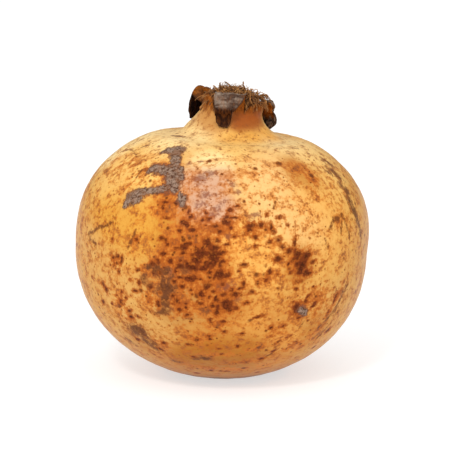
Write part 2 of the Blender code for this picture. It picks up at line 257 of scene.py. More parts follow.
# Grey-brown weathered patches.
WEATHER = [
    (-20, 33.8, 2.8, 2), (-17.4, 29, 2.1, 3.6), (-17.6, 22.6, 2.4, 2.2), (-27, 15, 4.4, 2.8, -30),
    (-23.6, 11.6, 3.8, 2.2, -38), (-20.4, 8.8, 2, 1.2, -38), (-7.4, 6, 3.4, 1.6),
    (-15, 5.2, 2, 0.9, -20), (-11, 34, 2.4, 1.6), (32.8, 67.6, 2.6, 1.3, -45),
    (35.4, 64.2, 2.8, 1.4, -52), (38, 60, 3.2, 1.4, -60), (40.2, 55.4, 3.2, 1.3, -66),
    (42, 50.4, 3.2, 1.3, -72), (43.4, 45.4, 3, 1.3, -78), (-20, 33.2, 1.4, 1.7),
    (-18, 33.5, 1.8, 0.9), (-20.8, 31.8, 1.3, 1), (-18, 28.2, 1.7, 2.3), (-22.6, 28.4, 1.9, 1.6),
    (-15.4, 29, 1.6, 1.9), (-16.2, 26.6, 1.4, 1), (-18.2, 24.2, 1.2, 1.2), (-17.2, 21.2, 1.8, 1.1),
    (-13, 31.6, 1.9, 0.8), (-26.4, 15.2, 2.8, 1.2, -20), (-24, 13.2, 2.8, 1.2, -35),
    (-21.6, 10.8, 2.2, 0.9, -38), (-28.4, 11.2, 3, 0.8, -38), (-6.6, 6, 2.4, 0.9),
    (-11, 18.4, 2.4, 0.6, 15), (25, 20.6, 1.5, 1.3), (4.3, 24.4, 1.2, 1.2), (33.4, 67.2, 2, 1, -45),
    (33.2, 64.4, 1.8, 0.9, -52), (36.4, 63, 2.6, 1, -58), (38.6, 59, 2.6, 0.9, -62),
    (40.4, 54.6, 2.6, 0.9, -66), (42, 50, 2.6, 0.8, -72), (-24.6, 31, 1.6, 1.6),
    (-20.4, 27, 1.4, 1.6), (-22.4, 35, 2.2, 1), (-19.4, 20.2, 2.2, 1), (-13.6, 34.2, 1.6, 0.8),
    (23.6, 71.9, 1.7, 0.7, -14), (-14.6, 75.7, 2.9, 0.6, 6), (-14.2, 75.8, 2.6, 0.5, 6),
    (-20, 72.4, 0.6, 0.6), (20.8, 70.1, 0.8, 0.4, -40), (35.8, 26.8, 0.8, 1.8, 15),
    (32, 17.5, 2.4, 0.6, 50), (35, 20.5, 2.4, 0.6, 55), (30, 13.5, 2.4, 0.6, 42),
    (38, 27, 2.6, 0.6, 65), (-12, 10, 2, 0.5, -10),
]
# Rusty stain that lies in and around the blotches.
STAINS = [
    (-10.5, 30, 6.5, 4.5), (-18.5, 29, 5, 6), (-13, 22, 6, 4), (-5, 24.5, 4, 4),
    (-20.5, 34.5, 4.5, 3), (-8.5, 40, 6, 5), (-6, 34.5, 6.5, 3.5), (-17, 62, 4, 6), (-15, 56.5, 6, 3),
    (-34, 68, 1.2, 5, -52), (-30.5, 67, 1, 6, -50), (-28, 66.5, 0.9, 5, -48), (-25, 65, 1, 6, -42),
    (-27, 62, 0.9, 5, -36), (-24.5, 69.5, 4, 0.9, 25), (-6, 49, 7, 3), (8, 64, 7, 2.2),
    (3, 68.4, 9, 0.9), (-9, 62, 2, 4.5), (30, 15, 5, 1.1, 48), (33, 20, 5, 1.2, 55),
    (26, 10.5, 5, 1.1, 40), (36.5, 26, 5, 1.2, 64), (29, 20, 4, 1, 52), (2, 60.5, 2.4, 3),
    (-30, 19, 3, 3), (10, 9, 6, 1.2, 15), (-2, 7, 7, 1.2), (-6, 37, 8, 5.5), (-14.5, 44, 5, 5.5),
    (-12, 50, 5, 2.5), (0, 47, 7, 3), (-1, 31, 4, 4), (1, 24, 5.5, 4), (-20, 52.5, 4, 2.5),
    (22.5, 66, 3.4, 2.2, -10), (27.5, 63, 2.2, 3.2, 20), (23.8, 36.5, 4, 4.4), (17, 42, 2, 1.6),
    (12, 46, 5, 2.5), (25, 22, 4, 3.2), (-1.5, 16.5, 3.4, 3), (-23, 24.5, 3, 3), (-1, 24, 3, 3),
    (22, 10, 5, 2, 30), (2, 2.6, 14, 1.6), (18, 67, 4.5, 1.4), (24.5, 66, 3, 2.2, -20),
    (27.8, 63, 1.4, 3), (-2, 68.2, 3.4, 0.7), (-22, 12, 6, 2.2, -38), (-32, 24, 3, 3), (-8, 12, 5, 3),
    (14, 31.5, 4, 2), (17.5, 14.5, 4, 2.4, 20), (30, 25, 4, 4, 30), (-27.5, 43.5, 1.6, 4, -20),
    (38.5, 57.5, 1.6, 1.4, -50), (5, 78.5, 2.4, 1.8), (-3, 22.5, 4, 1.6), (-18.5, 36.5, 3, 2.5),
    (29, 58, 1.2, 3, 10), (36.5, 49.8, 2.4, 1.6), (16, 56, 1.6, 1.6), (-24, 34, 2.5, 1.6),
    (-20, 66, 4.2, 2.4, 20), (-27.5, 69.5, 2, 1, 20), (8, 5, 6, 1.2, 5), (-33, 36.5, 2.6, 1.8),
    (-36.8, 28.5, 1.8, 2.2),
]
# Thin scratches: (half width, places).
SCRATCHES = [
    (0.55, [(-41.6, 45.6), (-40.4, 45.6), (-38.4, 47.3), (-37.2, 47.2), (-34.3, 48.7)]),
    (0.5, [(-41.8, 45.4), (-41.2, 43.2), (-39.7, 42.2), (-39.4, 40.8)]),
    (0.5, [(-29.4, 40.6), (-28.2, 43.4), (-27, 46.2)]),
    (0.5, [(33.8, 46.6), (35.2, 49.8), (37.6, 51), (38.6, 48.9), (39.6, 46), (40, 43.2)]),
    (0.45, [(37.4, 48.8), (37.3, 45.4)]), (0.6, [(35, 49.9), (36.6, 49.6)]),
    (0.4, [(-26.8, 62.8), (-25, 65.2)]), (0.35, [(16, 52.8), (17.1, 56.2)]),
    (0.4, [(-25.2, 72.3), (-22.4, 73)]), (0.45, [(-31.4, 70.9), (-28.4, 71.6), (-26.6, 69.4)]),
    (0.5, [(8.2, 17.6), (10.4, 18.7), (13.2, 19.6)]), (0.4, [(13, 6.2), (15.4, 7.4), (17, 9.2)]),
    (0.55, [(31, 69), (33.2, 67.5), (34.4, 66.2)]), (0.5, [(32.4, 66.2), (34.6, 63.4)]),
    (0.4, [(35, 64.6), (37.8, 60.2), (39.6, 56.4)]), (0.4, [(38.4, 57.2), (40.6, 51.4)]),
    (0.4, [(32.4, 43.4), (33.2, 40.6)]), (0.45, [(33, 18.4), (36.4, 23.4), (39.4, 29.2)]),
    (0.4, [(29.6, 12.2), (33.2, 16.2)]), (0.4, [(-24.2, 12.6), (-20.6, 10.2), (-18.4, 8)]),
    (0.4, [(24.4, 15.4), (25.6, 17.6)]),
]
# The corky grey scars, in strokes of (x, up, half width).
SCABS = [
    [(-18.4, 70.6, 0.8), (-16.6, 71.2, 1.5), (-14.4, 71.3, 1.9), (-12.6, 71.4, 1.2)],
    [(-14.6, 70, 1.5), (-14.6, 67.5, 1.3), (-15.2, 65.5, 1.8), (-15.4, 62.5, 2.1), (-15.3, 60, 1.9),
     (-14.6, 58.8, 1)],
    [(-12.9, 65.5, 0.8), (-12.9, 62.5, 0.8)],
    [(-22.8, 64.6, 0.9), (-21.2, 65.6, 1.7), (-19, 65.2, 1.7), (-17, 64.6, 1.5)],
    [(-17, 59.4, 1.1), (-20, 58.8, 1), (-23.4, 58.4, 1.1), (-26.2, 57.9, 1.4), (-28.4, 56.6, 1.6),
     (-29.6, 55, 1.2), (-30.6, 53.4, 0.5)],
    [(-25.4, 56.2, 0.8), (-27.6, 54.8, 0.9)],
    [(-13.2, 57.8, 0.4), (-12.6, 55.8, 1.3), (-12.5, 54.2, 0.8)],
    [(24.6, 21.4, 1.1), (25.8, 20.6, 1.2)],
]
# The ground's tones: a colour, its weight, and the places where it lies, as (x, up, reach).
GROUND = (0.62, 0.31, 0.07)
TONES = {
    "cream": ((0.92, 0.68, 0.31), 1, [(-13, 77, 13), (-2, 75, 8), (13, 76, 11), (22, 73, 9),
        (-3, 67.5, 4), (-24, 76, 7), (-33, 70, 4), (-29, 73, 4), (-17, 74, 5)]),
    "straw": ((0.8, 0.47, 0.13), 1, [(-34, 64, 9), (-24, 71, 7), (4, 72, 7), (29, 70, 9), (33, 62, 6),
        (-23, 63, 4), (-30, 69, 4)]),
    # The peach patches are partly the skin's own paler tone and partly a painted highlight, where the
    # lamp's reflection falls.
    "peach_and_painted_highlight": ((0.8, 0.48, 0.18), 1, [(20, 52, 8), (27, 48, 7), (12, 59, 6), (14, 66, 6)]),
    "rose": ((0.58, 0.33, 0.205), 1.3, [(-7, 61, 4.5), (-3, 63, 4), (-6, 55, 4.5), (-1, 52, 3.5),
        (-9.5, 53.5, 3.5)]),
    "golden": ((0.76, 0.38, 0.085), 1, [(34, 54, 8), (33, 42, 9), (10, 36, 8), (3, 44, 5),
        (16, 38, 5), (28, 54, 6)]),
    "amber": ((0.65, 0.3, 0.04), 1, [(-28, 46, 9), (-18, 48, 7), (-37, 50, 6)]),
    "tan": ((0.64, 0.34, 0.095), 1, [(-34, 30, 9), (-27, 22, 8), (-41, 42, 6), (34, 22, 9),
        (-19, 13, 7), (-30, 14, 6)]),
    "brick": ((0.33, 0.082, 0.014), 4, [(5.5, 80, 2.3), (8.2, 80.6, 2.6), (10.4, 81.8, 2.4),
        (8, 83, 3)]),
    "apricot": ((0.53, 0.245, 0.065), 2, [(-4.6, 84, 3), (-3, 81.5, 2.6), (-1.5, 79.5, 2.4)]),
    "honey": ((0.75, 0.36, 0.06), 1.6, [(3, 75.5, 4), (9, 76, 3), (14, 76.5, 3)]),
    "burnt": ((0.4, 0.13, 0.014), 1, [(-15, 44, 5), (-8, 40, 5), (-4, 35, 5), (24, 36, 3.6),
        (-14, 53, 4.5), (1, 22.5, 5)]),
    "orange": ((0.5, 0.2, 0.032), 1, [(23, 65.5, 3.6), (27.5, 62.5, 4), (29, 15, 5)]),
    # The umber places low on the front, at (-6, 6), (3, 5) and (13, 6), and all the sienna places darken
    # the skin towards the floor: painted shade. The other umber places are stains.
    "umber": ((0.42, 0.185, 0.045), 1, [(-18, 30, 6), (-10, 27, 6), (-15, 22, 6), (-4, 24, 5),
        (-26, 13, 5), (-6, 6, 5), (3, 5, 5), (13, 6, 5)]),
    "sienna_bottom_shade": ((0.41, 0.135, 0.008), 2, [(-6, 9, 5), (2, 9, 5), (9, 8, 5), (-12, 7, 4)]),
    "rust": ((0.57, 0.245, 0.05), 1, [(4, 11, 5), (3, 23, 5), (18, 18, 5), (-6, 15, 6), (-16, 8, 6)]),
    "copper": ((0.68, 0.3, 0.06), 1, [(9, 16, 6), (15, 9, 5), (20, 12, 5), (14, 4.5, 4)]),
}

# Spots scattered in the stains: SCATTER times a stain's half width times its half height, if
# its middle is lower than SCATTER_TOP.
SCATTER = 0.22
SCATTER_TOP = 55.0
# The sides and back carry marks of the same kinds, at random.
BACK_CLUSTERS = 26
BACK_SPOTS = 90
BACK_WEATHER = 9
BACK_SCRATCHES = 14
BACK_SCABS = 5
# Their tones: (azimuth, height above the floor, reach, colour).
BACK_TONES = [
    (30, 72, 16, (0.88, 0.52, 0.17)), (90, 72, 16, (0.9, 0.56, 0.2)),
    (150, 70, 16, (0.88, 0.52, 0.17)), (15, 45, 14, (0.84, 0.42, 0.11)),
    (60, 50, 14, (0.86, 0.46, 0.15)), (100, 46, 14, (0.78, 0.34, 0.07)),
    (140, 48, 14, (0.84, 0.42, 0.11)), (170, 38, 12, (0.76, 0.33, 0.06)),
    (40, 20, 13, (0.82, 0.4, 0.12)), (90, 18, 13, (0.8, 0.4, 0.12)),
    (140, 22, 13, (0.83, 0.45, 0.14)),
]
# The corky scar where the stem broke off, as a stroke of (x, y, half width).
STEM_SCAR = [(-3.4, -0.4, 1.9), (-2.2, 0.5, 2.2), (-1.2, -0.2, 1.7)]
# The relief that the marks and the skin's dimples have in the mesh.
DIMPLE = 4.0
DIMPLE_DEPTH = 0.09
SCAB_HEIGHT = 0.2
BLOTCH_DEPTH = 0.03


# ---- Shape -------------------------------------------------------------------------


def bezier(start, start_handle, end_handle, end, count=60):
    """count points of a cubic curve, without its start."""
    t = (np.arange(1, count + 1) / count)[:, None]
    a, b, c, d = np.array([start, start_handle, end_handle, end], float)
    return (1 - t) ** 3 * a + 3 * t * (1 - t) ** 2 * b + 3 * t * t * (1 - t) * c + t ** 3 * d


def smooth_line(points, count=240):
    """A Catmull-Rom line through the points, at equal steps of its length."""
    points = np.array(points, float)
    points = np.vstack([2 * points[0] - points[1], points, 2 * points[-1] - points[-2]])
    t = np.linspace(0, 1, 40, endpoint=False)[:, None]
    parts = [(2 * b + (c - a) * t + (2 * a - 5 * b + 4 * c - d) * t * t
              + (3 * b - a - 3 * c + d) * t ** 3) / 2
             for a, b, c, d in zip(points, points[1:], points[2:], points[3:])]
    return even_steps(np.vstack([*parts, points[-2:-1]]), count)


def even_steps(line, count):
    along = np.concatenate([[0], np.cumsum(np.linalg.norm(np.diff(line, axis=0), axis=1))])
    wanted = np.linspace(0, along[-1], count + 1)
    return np.stack([np.interp(wanted, along, line[:, k]) for k in range(line.shape[1])], 1)


def at_share(values, share):
    """Each column of a list of evenly spaced values, at a share of its length."""
    steps = np.linspace(0, 1, len(values))
    return [np.interp(share, steps, column) for column in np.atleast_2d(np.array(values).T)]


def line_length(line):
    return float(np.linalg.norm(np.diff(line, axis=0), axis=1).sum())


def unit(vectors):
    return vectors / np.maximum(np.linalg.norm(vectors, axis=-1, keepdims=True), 1e-9)


def wrapped(angle):
    """The angle between -180 and 180 degrees, in radians."""
    return (angle + math.pi) % (2 * math.pi) - math.pi


def wobble(x, y, z, scale):
    return noise.noise(Vector((x, y, z)) * scale)


def belly_height(radius, depth, power):
    return depth * np.maximum(0, 1 - (radius / BELLY_RADIUS) ** 2) ** (1 / power)


def outer_profile():
    """(radius, height) at equal steps from the stem scar up to where the lobes begin."""
    low = BELLY_RADIUS * np.sin(np.linspace(0, math.pi / 2, 200))
    lower = np.stack([low, -belly_height(low, LOWER_DEPTH, LOWER_POWER)], 1)
    scar = np.clip((SCAR_RADIUS - low) / SCAR_EDGE, 0, 1)
    lower[:, 1] = np.maximum(lower[:, 1], -GIRTH_HEIGHT)
    lower[:, 1] += SCAR_DEPTH * scar * scar * (3 - 2 * scar)
    last = math.acos(SHOULDER_RADIUS / BELLY_RADIUS)
    high = BELLY_RADIUS * np.cos(np.linspace(0, last, 120)[1:])
    upper = np.stack([high, belly_height(high, UPPER_RISE, UPPER_POWER)], 1)
    shoulder, shelf, neck = upper[-1], (SHELF_RADIUS, SHELF_HEIGHT), (NECK_RADIUS, NECK_HEIGHT)
    rounding = bezier(shoulder, (SHOULDER_RADIUS - 3.2, shoulder[1] + 1.8),
                      (SHELF_RADIUS + 3.6, SHELF_HEIGHT), shelf)
    flare = bezier(shelf, (SHELF_RADIUS - 3.5, SHELF_HEIGHT + 0.1),
                   (NECK_RADIUS + 0.6, NECK_HEIGHT - 5.2), neck)
    line = np.vstack([lower, upper, rounding, flare])
    return even_steps(line, round(line_length(line) / ROW_STEP))


def stand(points):
    """From the fruit's own round axis to where the points are on the standing fruit."""
    points = points.copy()
    flat = points.reshape(-1, 3)
    belly = np.maximum(0, 1 - (flat[:, 2] / UPPER_RISE) ** 2)
    around = np.arctan2(flat[:, 1], flat[:, 0])
    lump = np.array([noise.noise(Vector(p) * LUMP_SCALE) if b > 0 else 0.0
                     for p, b in zip(flat, belly)])
    rise = np.clip(flat[:, 2] / UPPER_RISE, 0, 1)
    wider = (1 + RIDGE_DEPTH * belly * np.cos(RIDGES * (around - RIDGE_TURN))
             + LUMP_DEPTH * belly * lump
             + SWELL * np.sin(math.pi * rise) * (1 + np.cos(around)) / 2)
    # The neck flares wider on the side away from the lean.
    above = flat[:, 2] - FLARE_MIDDLE
    flare = FLARE_SWELL * np.exp(-(above / np.where(above > 0, FLARE_ABOVE, FLARE_BELOW)) ** 2)
    flare *= ((1 - np.cos(around)) / 2) ** 3
    wider += flare / np.maximum(np.hypot(flat[:, 0], flat[:, 1]), 1)
    flat[:, :2] *= wider[:, None]
    flat[:, 0] += NECK_BEND * np.maximum(0, flat[:, 2] / NECK_HEIGHT) ** 4
    x, z = flat[:, 0].copy(), flat[:, 2].copy()
    flat[:, 0] = x * math.cos(LEAN) + z * math.sin(LEAN)
    flat[:, 2] = z * math.cos(LEAN) - x * math.sin(LEAN) + GIRTH_HEIGHT
    flat[:, 2] = np.maximum(flat[:, 2], 0)
    return points


def lobe_of(angle):
    """The lobe whose sector holds the angle, the angle off its middle, and the place across
    the sector from -1 to 1."""
    azimuths = [math.radians(lobe["azimuth"]) for lobe in LOBES]
    away = [wrapped(angle - azimuth) for azimuth in azimuths]
    nearest = min(range(len(LOBES)), key=lambda i: abs(away[i]))
    off = away[nearest]
    other = (nearest + (1 if off > 0 else -1)) % len(LOBES)
    return nearest, off, off / (abs(wrapped(azimuths[other] - azimuths[nearest])) / 2)


def lobe_sheet(angles):
    """The middle of the torn wall: points[row, column], and the length along it there."""
    lines = [smooth_line(lobe["path"]) for lobe in LOBES]
    points = np.zeros((LOBE_ROWS + 1, len(angles), 3))
    lengths = np.zeros((LOBE_ROWS + 1, len(angles)))
    for i, angle in enumerate(angles):
        which, off, across = lobe_of(angle)
        whole = line_length(lines[which])
        shape = np.interp(across, *np.array(LOBES[which]["outline"]).T)
        tear = wobble(angle * 9, which, 0, 2.2) + 0.7 * wobble(angle * 9, which, 5, 7.5)
        torn = max(0.8, whole * shape + LOBES[which]["ragged"] * tear * min(1, shape * 4))
        for k in range(LOBE_ROWS + 1):
            lengths[k, i] = torn * k / LOBE_ROWS
            points[k, i] = sheet_point(which, lines[which], whole, lengths[k, i], off, across)
    return points, lengths


def sheet_point(which, line, whole, length, off, across):
    """The point of a lobe at a length along it and at an angle off its middle."""
    lobe = LOBES[which]
    share = min(1, length / whole)
    step = min(1, share + 0.01)
    out, up = at_share(line, share)
    heading = math.atan2(*np.subtract(at_share(line, step), at_share(line, step - 0.02)))
    middle = NECK_RADIUS - WALL / 2
    side = middle * math.sin(off) * at_share(lobe["width"], share)[0]
    grown = min(1, length / 5)
    # The sheet is round at its root, as the tube is, and flattens further out.
    push = -middle * (1 - math.cos(off)) * (1 - 0.75 * min(1, length / 9))
    push += 2 * lobe["crumple"] * grown * (0.7 * wobble(side, length * 0.45, which * 7, 0.55)
                                           + 0.5 * wobble(side, length * 0.30, which * 7 + 3, 1.5))
    push += lobe.get("hook", 0) * across ** 2 * grown
    out += push * math.cos(heading)
    up += lobe.get("tilt", 0) * across * math.sin(math.pi * share) - push * math.sin(heading)
    turn = math.radians(lobe["azimuth"])
    return (out * math.cos(turn) - side * math.sin(turn),
            out * math.sin(turn) + side * math.cos(turn), up)


def sheet_normals(points):
    """Unit normals of the wall, away from the tube's axis at its root."""
    around = np.roll(points, -1, 1) - np.roll(points, 1, 1)
    normals = np.cross(around, np.gradient(points, axis=0))
    # The notches are creased, so their normals are shared with the columns beside them.
    for _ in range(2):
        normals = unit(normals)
        normals = np.roll(normals, 1, 1) + 2 * normals + np.roll(normals, -1, 1)
    return unit(normals)


def fruit_rows():
    """All rings of the fruit's skin, from the stem scar to the floor of the cup, and what
    is known of each vertex: its length along the sheet from the neck, whether it is on the
    inside, how far it is from the torn edge, and how silvery its lobe is."""
    angles = np.linspace(0, 2 * math.pi, COLUMNS, endpoint=False) + math.radians(90)
    angles = wrapped(angles - FRONT_CROWDING * np.sin(angles + math.radians(90)))
    rows, known = [], {"reach": [], "inside": [], "edge": []}

    def add(points, reach, inside, edge):
        rows.append(points)
        for name, value in (("reach", reach), ("inside", inside), ("edge", edge)):
            known[name].append(np.broadcast_to(value, COLUMNS))

    def add_ring(radius, height, reach, inside):
        add(np.stack([radius * np.cos(angles), radius * np.sin(angles),
                      np.full_like(angles, height)], 1), reach, inside, 9)

    for radius, height in outer_profile()[1:-1]:
        add_ring(radius, height, height - NECK_HEIGHT, 0)
    sheet, length = lobe_sheet(angles)
    to_edge = length[-1] - length
    thick = WALL * np.interp(length, *THINNING) * np.interp(to_edge, *EDGE_THINNING)
    half = sheet_normals(sheet) * thick[:, :, None] / 2
    for k in range(LOBE_ROWS + 1):
        add(sheet[k] + half[k], length[k], 0, to_edge[k])
    lip = unit(sheet[-1] - sheet[-2])
    add(sheet[-1] + lip * thick[-1][:, None] * 0.35, length[-1], 0.5, 0)
    for k in range(LOBE_ROWS, -1, -1):
        add(sheet[k] - half[k], length[k], 1, to_edge[k])
    for height in CUP_WALL_HEIGHTS:
        add_ring(NECK_RADIUS - WALL, height, height - NECK_HEIGHT, 1)
    for turn in np.radians((0, 30, 60, 90)):
        add_ring(NECK_RADIUS - WALL - CUP_ROUNDING * (1 - math.cos(turn)),
                 CUP_FLOOR + CUP_ROUNDING * (1 - math.sin(turn)), -4, 1)
    for radius in CUP_FLOOR_RADII:
        add_ring(radius, CUP_FLOOR, -5, 1)
    silver = [LOBES[lobe_of(angle)[0]].get("silver", SILVER) for angle in angles]
    known["silver"] = [silver] * len(rows)
    return np.array(rows), known


def quads(rings, sides):
    """The faces between rings of vertices."""
    pairs = [(i, (i + 1) % sides) for i in range(sides)]
    return [(low + i, low + j, low + sides + j, low + sides + i)
            for low in range(0, (rings - 1) * sides, sides) for i, j in pairs]


def closed_rings(rings, sides):
    """The faces of rings that one more vertex closes at each end, after all the rings."""
    faces = quads(rings, sides)
    first, last, top = rings * sides, rings * sides + 1, (rings - 1) * sides
    for i in range(sides):
        j = (i + 1) % sides
        faces += [(first, j, i), (last, top + i, top + j)]
    return faces


def standing_mesh(name, points, faces):
    mesh = bpy.data.meshes.new(name)
    mesh.from_pydata((points * MM + np.array([0, 0, FLOOR])).tolist(), [], faces)
    mesh.shade_smooth()
    return mesh


def fruit_mesh():
    rows, known = fruit_rows()
    ends = np.array([[0, 0, -GIRTH_HEIGHT + SCAR_DEPTH], [0, 0, CUP_FLOOR]])
    points = np.vstack([stand(rows).reshape(-1, 3), stand(ends)])
    mesh = standing_mesh("fruit", points, closed_rings(len(rows), COLUMNS))
    at_ends = {"reach": (-90, -5), "inside": (0, 1), "edge": (9, 9), "silver": (0, 0)}
    for name, grid in known.items():
        attribute(mesh, name, np.concatenate([np.ravel(grid), at_ends[name]]))
    return mesh


def attribute(mesh, name, values):
    made = mesh.attributes.new(name, "FLOAT", "POINT")
    made.data.foreach_set("value", values.astype(np.float32))


def add_piece(name, mesh, material):
    piece = bpy.data.objects.new(name, mesh)
    bpy.context.scene.collection.objects.link(piece)
    mesh.materials.append(material)
    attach(piece, "root")
    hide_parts(name)


# ---- Marks laid on the skin --------------------------------------------------------


class Skin:
    """Places marks on the fruit's skin and works out how strong they are at each vertex."""

    def __init__(self, mesh):
        self.points = np.array([vertex.co for vertex in mesh.vertices])
        faces = [tuple(face.vertices) for face in mesh.polygons]
        self.tree = BVHTree.FromPolygons([tuple(p) for p in self.points], faces)
        self.eye = VIEW_TARGET + self.to_viewer() * VIEW_DISTANCE

    @staticmethod
    def to_viewer():
        """The heading from the fruit to the viewer."""
        return Vector((0, -math.cos(VIEW_ELEVATION), math.sin(VIEW_ELEVATION)))

    def seen(self, x, up):
        """The skin's point and normal behind a place that the viewer sees."""
        lift = Vector((0, math.sin(VIEW_ELEVATION), math.cos(VIEW_ELEVATION)))
        place = Vector((x * 0.001, VIEW_TARGET.y, VIEW_TARGET.z)) + lift * (STAND_LINE + up * 0.001)
        return self.cast(self.eye, place - self.eye)

    def around(self, azimuth, height):
        """The skin's point and normal at an azimuth and a height above the floor."""
        turn = math.radians(azimuth)
        out = Vector((math.cos(turn), math.sin(turn), 0))
        middle = Vector((0, 0, height * MM + FLOOR))
        return self.cast(middle + out * 0.2, -out)

    def below(self, x, y):
        """The skin's point and normal straight above a place on the floor, in millimetres."""
        return self.cast(Vector((x * MM, y * MM, FLOOR - 0.1)), Vector((0, 0, 1)))

    def cast(self, start, heading):
        place, normal, _, _ = self.tree.ray_cast(start, heading.normalized())
        if place is None:
            return None
        return np.array(place), np.array(normal)

    def away(self, spot, wide, tall, turn=0):
        """How far each vertex is from a spot, in the spot's own half widths."""
        place, normal = spot
        level = np.cross((0, 0, 1), normal)
        level /= max(np.linalg.norm(level), 1e-6)
        rise = np.cross(normal, level)
        turn = math.radians(turn)
        first = level * math.cos(turn) + rise * math.sin(turn)
        second = rise * math.cos(turn) - level * math.sin(turn)
        off = (self.points - place) / MM
        return np.sqrt((off @ first / wide) ** 2 + (off @ second / tall) ** 2
                       + (off @ normal / (2.5 * max(wide, tall))) ** 2)

    def discs(self, marks):
        """1 in the middle of a mark, 0.5 at its edge and 0 at twice its size."""
        strength = np.zeros(len(self.points))
        for mark in marks:
            strength = np.maximum(strength, 1 - self.away(*mark) / 2)
        return strength

    def glow(self, marks):
        """Soft patches that add up."""
        strength = np.zeros(len(self.points))
        for mark in marks:
            strength += np.exp(-self.away(*mark) ** 2)
        return np.minimum(strength, 1.2)

    def strokes(self, lines):
        """1 along the middle of a stroke, 0.5 at its edge."""
        strength = np.zeros(len(self.points))
        for line in lines:
            for ((start, _), half_start), ((end, _), half_end) in zip(line, line[1:]):
                run = end - start
                t = np.clip((self.points - start) @ run / max(run @ run, 1e-12), 0, 1)
                off = np.linalg.norm(self.points - start - t[:, None] * run, axis=1) / MM
                half = half_start + (half_end - half_start) * t
                strength = np.maximum(strength, 1 - off / (2 * half))
        return strength

    def tones(self, tones):
        """The ground's colour, mixed from the tones near each vertex."""
        weight = np.full(len(self.points), 0.25)
        colour = np.array(GROUND)[None, :] * weight[:, None]
        for spot, reach, share, tone in tones:
            off = np.linalg.norm(self.points - spot[0], axis=1) / MM
            near = share * np.exp(-(off / reach) ** 2) * (8 / reach) ** 2
            weight += near
            colour = colour + near[:, None] * np.array(tone)[None, :]
        return np.hstack([colour / weight[:, None], np.ones((len(colour), 1))])


def front_marks(skin):
    """The marks of the front by kind, each with its place on the skin in front."""

    def placed(marks):
        found = [(skin.seen(x, up), *rest) for x, up, *rest in marks]
        return [mark for mark in found if mark[0] is not None]

    marks = {"blotch": placed(BLOTCHES), "bruise": placed(BRUISES), "weather": placed(WEATHER),
             "stain": placed(STAINS), "scab": [placed(line) for line in SCABS]}
    marks["scratch"] = [placed([(x, up, half) for x, up in line]) for half, line in SCRATCHES]
    marks["tone"] = [(skin.seen(x, up), reach, weight, tone)
                     for tone, weight, places in TONES.values() for x, up, reach in places]
    return marks


def scatter_spots(skin, rng, blotches):
    """Adds small spots, scattered in each stain."""
    for x, up, wide, tall, *_ in STAINS:
        for _ in range(int(wide * tall * SCATTER) if up < SCATTER_TOP else 0):
            far, way = rng.uniform(0, 1.15) ** 0.6, rng.uniform(0, 2 * math.pi)
            spot = skin.seen(x + wide * far * math.cos(way), up + tall * far * math.sin(way))
            if spot is not None:
                size = rng.uniform(0.6, 1.1)
                blotches.append((spot, size, size * rng.uniform(0.5, 1), rng.uniform(-40, 40)))


def back_marks(skin, rng, marks):
    """Adds clusters of marks, loose spots, worn patches, scratches and scars at the back."""
    for _ in range(BACK_CLUSTERS):
        azimuth, height, size = rng.uniform(4, 176), rng.uniform(7, 66), rng.uniform(3, 8)
        wide, tall = size * rng.uniform(0.6, 1.1), size * rng.uniform(0.5, 0.9)
        marks["stain"].append((skin.around(azimuth, height), wide, tall, rng.uniform(0, 180)))
        for _ in range(int(size * rng.uniform(1.2, 2.6))):
            spot = skin.around(azimuth + rng.gauss(0, size * 0.8), height + rng.gauss(0, size * 0.55))
            wide = rng.uniform(0.6, 1.7)
            kind = "blotch" if rng.random() < 0.75 else "bruise"
            marks[kind].append((spot, wide, wide * rng.uniform(0.45, 1), rng.uniform(-40, 40)))
    for _ in range(BACK_SPOTS):
        spot = skin.around(rng.uniform(2, 178), rng.uniform(5, 72))
        wide = rng.uniform(0.5, 1.0)
        marks["blotch"].append((spot, wide, wide * rng.uniform(0.6, 1), rng.uniform(-40, 40)))
    for _ in range(BACK_WEATHER):
        azimuth, height = rng.uniform(8, 172), rng.uniform(10, 74)
        for _ in range(rng.randint(2, 5)):
            spot = skin.around(azimuth + rng.gauss(0, 4), height + rng.gauss(0, 2.5))
            wide, tall = rng.uniform(1.0, 2.8), rng.uniform(0.5, 1.3)
            marks["weather"].append((spot, wide, tall, rng.uniform(0, 180)))
    for kind, count, steps, half in (("scratch", BACK_SCRATCHES, 3, 0.45),
                                     ("scab", BACK_SCABS, 4, 1.2)):
        for _ in range(count):
            azimuth, height, turn = rng.uniform(6, 174), rng.uniform(14, 68), rng.uniform(-1.3, 1.3)
            line = []
            for _ in range(steps + rng.randint(-1, 1)):
                line.append((skin.around(azimuth, height), half * rng.uniform(0.6, 1.3)))
                azimuth += 2.6 * math.cos(turn)
                height += 2.2 * math.sin(turn)
                turn += rng.gauss(0, 0.7)
            marks[kind].append(line)
    marks["tone"] += [(skin.around(azimuth, height), reach, 1, tone)
                      for azimuth, height, reach, tone in BACK_TONES]


def paint(mesh):
    """Writes the marks of the whole skin into the mesh's attributes, and their relief."""
    skin = Skin(mesh)
    rng = random.Random(SKIN_SEED)
    marks = front_marks(skin)
    scatter_spots(skin, rng, marks["blotch"])
    back_marks(skin, rng, marks)
    marks["scab"].append([(skin.below(x, y), half) for x, y, half in STEM_SCAR])
    marks["stain"].append((skin.below(*STEM_SCAR[0][:2]), 7, 6, 20))
    blotch, scab = skin.discs(marks["blotch"]), skin.strokes(marks["scab"])
    raise_skin(mesh, skin.points, blotch, scab)
    attribute(mesh, "blotch", blotch)
    attribute(mesh, "scab", scab)
    attribute(mesh, "scratch", skin.strokes(marks["scratch"]))
    for name in ("bruise", "weather", "stain"):
        attribute(mesh, name, skin.glow(marks[name]))
    ground = mesh.attributes.new("ground", "FLOAT_COLOR", "POINT")
    ground.data.foreach_set("color", skin.tones(marks["tone"]).astype(np.float32).ravel())


